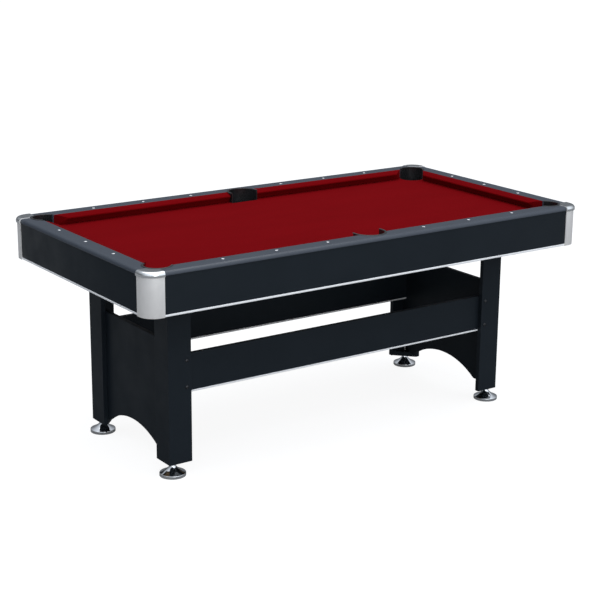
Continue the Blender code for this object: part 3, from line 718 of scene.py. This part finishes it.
bed_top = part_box("playfield")[1].z
rail_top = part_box("rail_front")[1].z
for name, (set_in, radius, leg) in pockets.items():
    low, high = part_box(f"pocket_liner_{name}")
    corner = not name.endswith("middle")
    ear = leg if corner else leg - LINER_WALL
    rim_foot, lip = rail_top + CLEAR, -LINER_WALL - RIM_INSET
    middle, half = (RIM_LAP + lip) / 2, (RIM_LAP - lip) / 2
    crown = high.z - rim_foot
    section = (
        [(-LINER_WALL, bed_top - WALL_FOOT), (0.0, bed_top - WALL_FOOT), (0.0, rim_foot)]
        + [(middle + half * x, rim_foot + crown * y) for x, y in arc((0, 0), 1.0, 0, 180, 14)]
        + [(lip, rail_top - RIM_EDGE), (-LINER_WALL, rail_top - RIM_TAPER)]
    )
    loops = [
        [set_in @ Vector((px + nx * out, py + ny * out, z)) for out, z in section]
        for (px, py), (nx, ny) in horseshoe_path(radius, ear)
    ]
    shown(f"pocket_wall_{name}", lofted(loops), PLASTIC, crease=40)

    outer, inner = radius - THROAT_SKIN, radius - LINER_WALL + THROAT_SKIN
    ring = [(x * outer, y * outer, x * inner, y * inner) for x, y in arc((0, 0), 1.0, 90, 270, BENDS)]
    if corner:
        for x, y in arc((0, 0), 1.0, -90, 90, BENDS)[1:-1]:
            ring.append((leg + x * outer - CLEAR, y * outer, leg + x * inner, y * inner))
    else:
        for y in (-1.0, -0.5, 0.0, 0.5, 1.0):
            ring.append((leg - CLEAR, y * outer, leg - LINER_WALL, y * inner))
    top, foot = bed_top - THROAT_TOP, low.z
    spout = foot - SPOUT_DROP if corner else foot
    shape = bmesh.new()
    rows = []
    for ox, oy, ix, iy in ring:
        lx, ly = ix + (ox - ix) * SPOUT_SHARE, iy + (oy - iy) * SPOUT_SHARE
        points = [(ox, oy, foot), (ox, oy, top), (ix, iy, top), (ix, iy, spout)]
        points += [(lx, ly, spout), (lx, ly, foot + THROAT_SKIN)] if corner else []
        rows.append([shape.verts.new(set_in @ Vector(point)) for point in points])
    for first, second in zip(rows, rows[1:] + rows[:1]):
        for i in range(len(first)):
            shape.faces.new((first[i], first[i - 1], second[i - 1], second[i]))
    shown(
        f"pocket_throat_{name}", mesh_from(shape), PLASTIC, "table", [f"pocket_liner_{name}"]
    )


# ---------------------------------------------------------------------------------------------------------
# Rails. Boards wrapped in slate-grey satin laminate with a rolled outer edge, stepped over the bed and the
# aprons, and cut round for the pockets.


def slate_laminate():
    made, tree, shader = finish("slate_laminate", Specular_IOR_Level=0.5)
    tone = clouded(tree, 11.0, 6.0, (0.031, 0.039, 0.053), (0.042, 0.052, 0.069))
    worn = placed_effect(tree, RUBBED_EDGES, Reach=0.0012)
    colour = two_tone(tree, worn, tone, (0.13, 0.14, 0.15))
    surfaced(tree, shader, colour, gloss=(0.07, 0.32, 0.44), pebble=(0.0009, 0.00002))
    return made


def prism(outline, low, high):
    """A flat outline of (x, y) points made solid between two heights."""
    return lofted([[(x, y, z) for x, y in outline] for z in (low, high)])


def carved(mesh, cutters):
    """The mesh with every cutter taken out of it."""
    stock = bpy.data.objects.new("stock", mesh)
    bpy.context.scene.collection.objects.link(stock)
    tools = []
    for cutter in cutters:
        tool = bpy.data.objects.new("tool", cutter)
        bpy.context.scene.collection.objects.link(tool)
        cut = stock.modifiers.new("cut", "BOOLEAN")
        cut.object = tool
        cut.operation = "DIFFERENCE"
        tools.append(tool)
    bpy.context.view_layer.update()
    made = bpy.data.meshes.new_from_object(stock.evaluated_get(bpy.context.evaluated_depsgraph_get()))
    for used in (stock, *tools):
        bpy.data.objects.remove(used)
    return made


SLATE = slate_laminate()
RAIL_TURNS = {"back": 0.0, "left": math.pi / 2, "front": math.pi, "right": -math.pi / 2}
RAIL_ROLL = 0.0125
RAIL_LIP = 0.0135  # depth of the rail's outer edge
APRON_LAP = 0.0191  # how far the rail reaches out over the apron
EASE = 0.0006
CUT_REACH = 0.08  # from a pocket's middle in over the cloth
CUT_PAST = 0.01  # above and below the rail

for side in ("front", "back", "left", "right"):
    low, high, runs_x, _ = along_side(f"rail_{side}")
    inner, outer = sorted(map(abs, (low.y, high.y) if runs_x else (low.x, high.x)))
    half = high.x if runs_x else high.y
    step, edge = outer - APRON_LAP - CLEAR, high.z - RAIL_LIP
    section = (
        [(inner, low.z), (step, low.z), (step, edge), (outer - EASE, edge), (outer, edge + EASE)]
        + arc((outer - RAIL_ROLL, high.z - RAIL_ROLL), RAIL_ROLL, 0, 90, 14)
        + arc((inner + EASE, high.z - EASE), EASE, 90, 180, 3)
    )
    turn = Matrix.Rotation(RAIL_TURNS[side], 4, "Z")
    loops = [[turn @ Vector((x, y, z)) for y, z in section] for x in (-half, half)]
    cutters = []
    for name, (set_in, radius, leg) in pockets.items():
        if side in name:
            hole = radius + CLEAR
            outline = arc((0, 0), hole, 90, 270, 64) + [(CUT_REACH, -hole), (CUT_REACH, hole)]
            cutter = prism(outline, low.z - CUT_PAST, high.z + CUT_PAST)
            cutter.transform(set_in)
            cutters.append(cutter)
    rail = carved(lofted(loops), cutters)
    shown(f"rail_board_{side}", rail, SLATE, replaced=[f"rail_{side}"], crease=32)


# ---------------------------------------------------------------------------------------------------------
# Sights. Small round pearl buttons are let into the rails at each eighth of the bed's length and each quarter
# of its width, level with the laminate but for a low crown.


def pearl():
    made, tree, shader = finish("pearl", Coat_Weight=0.6, Coat_Roughness=0.08)
    place = node(tree, "ShaderNodeTexCoord").outputs["Object"]
    swirl = node(
        tree, "ShaderNodeTexNoise", {"Vector": place, "Scale": 260.0, "Detail": 3.0, "Distortion": 2.5}
    )
    tone = two_tone(tree, swirl.outputs["Fac"], (0.86, 0.86, 0.88), (1.00, 0.98, 0.95))
    tree.links.new(tone, shader.inputs["Base Color"])
    gloss = placed_effect(tree, UNEVEN_GLOSS, Patch=0.004, Least=0.14, Most=0.26)
    tree.links.new(gloss, shader.inputs["Roughness"])
    return made


def button_tree():
    """A low crowned button on every point."""
    real = "NodeSocketFloat"
    tree, given = builder("sight buttons", {"Radius": (real, 0.0045), "Crown": (real, 0.0006)})
    ball = node(tree, "GeometryNodeMeshUVSphere", {"Segments": 28, "Rings": 14, "Radius": 1.0})
    size = node(
        tree, "ShaderNodeCombineXYZ", {"X": given["Radius"], "Y": given["Radius"], "Z": given["Crown"]}
    )
    button = node(tree, "GeometryNodeTransform", {"Geometry": ball.outputs["Mesh"], "Scale": size.outputs[0]})
    set_out = node(
        tree, "GeometryNodeInstanceOnPoints", {"Points": given["Geometry"], "Instance": button.outputs[0]}
    )
    return close_tree(tree, set_out.outputs[0], given)


PEARL = pearl()
SIGHT_INSET = 0.0410  # from a rail's outer edge to the middle of its sights
SIGHT_RADIUS = 0.0052
SIGHT_CROWN = 0.0009

nose_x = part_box("cushion_right")[0].x
nose_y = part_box("cushion_back_right")[0].y
sight_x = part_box("rail_right")[1].x - SIGHT_INSET
sight_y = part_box("rail_back")[1].y - SIGHT_INSET
sights = []
for way in (-1, 1):
    sights += [(nose_x * step / 4, way * sight_y, rail_top) for step in (-3, -2, -1, 1, 2, 3)]
    sights += [(way * sight_x, nose_y * step / 2, rail_top) for step in (-1, 0, 1)]
mesh = grown(
    button_tree(), sights, [(0, 0, 1)] * len(sights), Radius=SIGHT_RADIUS, Crown=SIGHT_CROWN, Finish=PEARL
)
shown("rail_sights", mesh, PEARL, crease=60)


# ---------------------------------------------------------------------------------------------------------
# Cushions. Firm rubber with a low nose, wrapped in the cloth and glued along the rails' inner edges. Their
# ends are cut back at the pockets, and the cloth is drawn tight round them.

NOSE_RADIUS = 0.0045
NOSE_DROP = 0.0118  # height of the nose's middle below the cushion's top
CUSHION_TOP = ((0.0, 0.0), (0.0005, 0.0004), (0.0050, 0.0010), (0.0100, 0.0020), (0.0145, 0.0032),
               (0.0185, 0.0045), (0.0220, 0.0059), (0.0250, 0.0074))  # (out from the rail, down)
UNDERCUT = ((0.0052, 0.0170), (0.0104, 0.0075), (0.0150, 0.0))  # (back from the nose, up from the bed)
CORNER_CUT, MIDDLE_CUT = math.tan(math.radians(52)), math.tan(math.radians(14))
STATIONS = 40
CLOTH_ROUND = 0.0014

for name in ("back_left", "back_right", "front_left", "front_right", "left", "right"):
    low, high, runs_x, outward = along_side(f"cushion_{name}")
    nose, back = sorted(map(abs, (low.y, high.y) if runs_x else (low.x, high.x)))
    section = [(back - out, high.z - drop) for out, drop in CUSHION_TOP]
    section += arc((nose + NOSE_RADIUS, high.z - NOSE_DROP), NOSE_RADIUS, 122, 215, 10)
    section += [(nose + set_back, low.z + rise) for set_back, rise in UNDERCUT] + [(back, low.z)]
    first, last = (low.x, high.x) if runs_x else (low.y, high.y)
    first_cut = MIDDLE_CUT if runs_x and "right" in name else CORNER_CUT
    last_cut = MIDDLE_CUT if runs_x and "left" in name else CORNER_CUT
    loops = []
    for station in range(STATIONS + 1):
        loop = []
        for across, z in section:
            start = first + (back - across) * first_cut
            end = last - (back - across) * last_cut
            along = start + (end - start) * station / STATIONS
            loop.append((along, outward * across, z) if runs_x else (outward * across, along, z))
        loops.append(loop)
    # The cushion cloth is painted a little darker than the bed's, as painted shade.
    cushion = shown(
        f"cloth_cushion_{name}", lofted(loops), SHADED_RAIL_FELT, "table", [f"cushion_{name}"], crease=50
    )
    rounding = cushion.modifiers.new("drawn cloth", "BEVEL")
    rounding.width = CLOTH_ROUND
    rounding.segments = 3
    rounding.limit_method = "ANGLE"
    rounding.angle_limit = math.radians(50)
    rounding.harden_normals = True


# ---------------------------------------------------------------------------------------------------------
# Aprons. Deep black laminated boards close the cabinet's four sides, with a bright moulding along the foot
# of each, and the right-hand one is cut for the return's mouth.

for side in ("front", "back", "left", "right"):
    eased(f"apron_{side}", f"apron_board_{side}", LAMINATE, "laminate", BOARD_EDGE)
    moulding(f"apron_trim_{side}", f"apron_moulding_{side}")


# ---------------------------------------------------------------------------------------------------------
# Corner castings. Each is one aluminium casting, tumbled to a satin body, with its overhanging cap polished
# and lacquered. It hooks over both rails and hides the ends of the aprons.

def satin_casting():
    made, tree, shader = finish("satin_casting", Metallic=0.45)
    colour = clouded(tree, 45.0, 6.0, (0.90, 0.88, 0.85), (0.95, 0.93, 0.90))
    surfaced(tree, shader, colour, gloss=(0.015, 0.38, 0.50), pebble=(0.0009, 0.00004))
    return made


def polished_casting():
    made, tree, shader = finish("polished_casting", Metallic=1.0)
    worn = placed_effect(tree, RUBBED_EDGES, Reach=0.0010)
    colour = two_tone(tree, worn, (0.86, 0.88, 0.88), (0.66, 0.67, 0.67))
    surfaced(tree, shader, colour, gloss=(0.020, 0.09, 0.17), pebble=(0.0030, 0.00003))
    return made


SATIN_CASTING, POLISHED_CASTING = satin_casting(), polished_casting()
CORNER_BEND = 0.050
CAP_OVERHANG = 0.004
CAP_DEPTH = 0.018
CAP_PLATE = 0.0045
CAP_ROUND = 0.012
CAP_SHARES = (0.25, 0.5, 0.75, 0.97)  # rows of corners across the cap's flat top
CAP_EDGE = 0.0006
LIP_ROUND = 0.0012
LIP_DIP, LIP_START = 0.0008, 0.0016  # below the lip: the middle of its inner bend, and the body's last row
FOOT_EASE = 0.0009
CASTING_WALL = 0.0032
POLISH_DIP = 0.0010  # how far below the lip the polish starts

for corner in CORNERS:
    low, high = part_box(f"corner_casting_{corner}")
    out_x, out_y = math.copysign(1, low.x), math.copysign(1, low.y)
    face_x = max(abs(low.x), abs(high.x)) - CAP_OVERHANG
    face_y = max(abs(low.y), abs(high.y)) - CAP_OVERHANG
    wing = face_x - min(abs(low.x), abs(high.x))
    set_in, radius, leg = pockets[corner]
    pocket_inset = face_x - abs(set_in.translation.x)
    reach = radius + RIM_LAP + CLEAR
    lean = math.degrees(math.asin((pocket_inset - wing) / reach))

    straight = [(-wing + (wing - CORNER_BEND) * i / 5, 0.0) for i in range(5)]
    path = [(point, (0.0, 1.0)) for point in straight]
    for x, y in arc((-CORNER_BEND, -CORNER_BEND), CORNER_BEND, 90, 0, 28):
        path.append(((x, y), ((x + CORNER_BEND) / CORNER_BEND, (y + CORNER_BEND) / CORNER_BEND)))
    path += [((y, x), (1.0, 0.0)) for x, y in reversed(straight)]
    rim_edge = arc((-pocket_inset, -pocket_inset), reach, 90 - lean, lean, len(path) - 1)

    lip_z = high.z - CAP_DEPTH
    outside = (
        [(-CASTING_WALL, low.z), (-FOOT_EASE, low.z), (-FOOT_EASE / 3, low.z + FOOT_EASE / 3)]
        + [(0.0, low.z + FOOT_EASE), (0.0, lip_z - LIP_START)]
        + arc((LIP_ROUND, lip_z - LIP_DIP), LIP_ROUND, 180, 110, 3)
        + arc((CAP_OVERHANG - LIP_ROUND, lip_z + LIP_ROUND), LIP_ROUND, -80, 0, 4)
        + arc((CAP_OVERHANG - CAP_ROUND, high.z - CAP_ROUND), CAP_ROUND, 0, 90, 12)
    )
    loops = []
    for ((px, py), (nx, ny)), (rx, ry) in zip(path, rim_edge):
        loop = [(px + nx * out, py + ny * out, z) for out, z in outside]
        top_x, top_y = loop[-1][0], loop[-1][1]
        for share in CAP_SHARES:
            loop.append((top_x + (rx - top_x) * share, top_y + (ry - top_y) * share, high.z))
        loop += [(rx, ry, high.z - CAP_EDGE), (rx, ry, high.z - CAP_PLATE)]
        loop.append((px - nx * CASTING_WALL, py - ny * CASTING_WALL, high.z - CAP_PLATE))
        loops.append([(out_x * (face_x + x), out_y * (face_y + y), z) for x, y, z in loop])
    casting = shown(
        f"casting_{corner}", lofted(loops), SATIN_CASTING, "table", [f"corner_casting_{corner}"],
        crease=38,
    )
    casting.data.materials.append(POLISHED_CASTING)
    for face in casting.data.polygons:
        face.material_index = int(face.center.z > lip_z - POLISH_DIP)


# ---------------------------------------------------------------------------------------------------------
# Studio. A pale floor that runs to the horizon, walls that are lighter in front than behind, a broad soft
# light overhead and another in front, and a camera off the near left corner that looks slightly down.

FLOOR_GREY = 0.23
FLOOR_GLOW = {"To Min": 0.04, "To Max": 0.88}  # as the table's pieces see it, and as the camera does
WALLS = {"From Min": -0.9, "From Max": 0.30, "To Min": 1.06, "To Max": 0.14}  # from the front to the back
ROOF = 0.94


def pale_floor():
    made, tree, shader = finish("pale_floor", Roughness=0.9, Specular_IOR_Level=0.0)
    shader.inputs["Base Color"].default_value = (FLOOR_GREY, FLOOR_GREY, FLOOR_GREY, 1.0)
    shader.inputs["Emission Color"].default_value = (1.0, 1.0, 1.0, 1.0)
    rays = node(tree, "ShaderNodeLightPath")
    glow = node(tree, "ShaderNodeMapRange", {"Value": rays.outputs["Is Camera Ray"], **FLOOR_GLOW})
    tree.links.new(glow.outputs[0], shader.inputs["Emission Strength"])
    return made


floor_mesh = bpy.data.meshes.new("studio_floor")
floor_mesh.from_pydata([(-40, -40, 0), (40, -40, 0), (40, 60, 0), (-40, 60, 0)], [], [(0, 1, 2, 3)])
floor_mesh.materials.append(pale_floor())
floor = bpy.data.objects.new("studio_floor", floor_mesh)
bpy.context.scene.collection.objects.link(floor)
floor.location.z = -0.0002

world = bpy.data.worlds.new("studio")
world.use_nodes = True
bpy.context.scene.world = world
sky = world.node_tree
background = sky.nodes["Background"]
rays = node(sky, "ShaderNodeLightPath")
tint = two_tone(sky, rays.outputs["Is Camera Ray"], (0.89, 0.95, 1.04), (1.0, 1.0, 1.0))
sky.links.new(tint, background.inputs["Color"])
around = node(sky, "ShaderNodeTexCoord").outputs["Generated"]
way = node(sky, "ShaderNodeSeparateXYZ", {"Vector": around})
wall = node(sky, "ShaderNodeMapRange", {"Value": way.outputs["Y"], **WALLS})
rise = node(sky, "ShaderNodeMath", {0: way.outputs["Z"], 1: way.outputs["Z"]}, operation="MULTIPLY")
roof = node(sky, "ShaderNodeMath", {0: rise.outputs[0], 1: ROOF}, operation="MULTIPLY")
fade = node(sky, "ShaderNodeMath", {0: wall.outputs[0], 1: roof.outputs[0]}, operation="ADD")
white = node(sky, "ShaderNodeMix", {"Factor": rays.outputs["Is Camera Ray"], "A": fade.outputs[0], "B": 1.0})
sky.links.new(white.outputs[0], background.inputs["Strength"])


def soft_light(name, place, aim, size, power):
    """A square area light that looks at a point."""
    lamp = bpy.data.lights.new(name, "AREA")
    lamp.shape = "SQUARE"
    lamp.size = size
    lamp.energy = power
    holder = bpy.data.objects.new(name, lamp)
    bpy.context.scene.collection.objects.link(holder)
    holder.location = place
    holder.rotation_euler = (Vector(aim) - Vector(place)).to_track_quat("-Z", "Y").to_euler()
    return holder


soft_light("overhead", (0.0, 0.1, 3.4), (0.0, 0.0, 0.7), 3.2, 40.0)
soft_light("front_fill", (-1.6, -5.5, 1.8), (0.0, 0.0, 0.5), 2.6, 40.0)

STAND = (-3.0708, -4.3766, 1.9663)
TURN, DIP, ROLL = math.radians(34.998), math.radians(15.911), math.radians(0.506)

lens = bpy.data.cameras.new("camera")
lens.sensor_width = 36.0
lens.lens = 91.07
lens.clip_end = 200.0
camera = bpy.data.objects.new("camera", lens)
bpy.context.scene.collection.objects.link(camera)
forward = Vector((math.sin(TURN) * math.cos(DIP), math.cos(TURN) * math.cos(DIP), -math.sin(DIP)))
level = Vector((math.cos(TURN), -math.sin(TURN), 0.0))
upright = level.cross(forward)
right = level * math.cos(ROLL) + upright * math.sin(ROLL)
up = upright * math.cos(ROLL) - level * math.sin(ROLL)
mount = Matrix((right, up, -forward)).transposed().to_4x4()
mount.translation = STAND
camera.matrix_world = mount
bpy.context.scene.camera = camera
bpy.context.scene.view_settings.view_transform = "Standard"
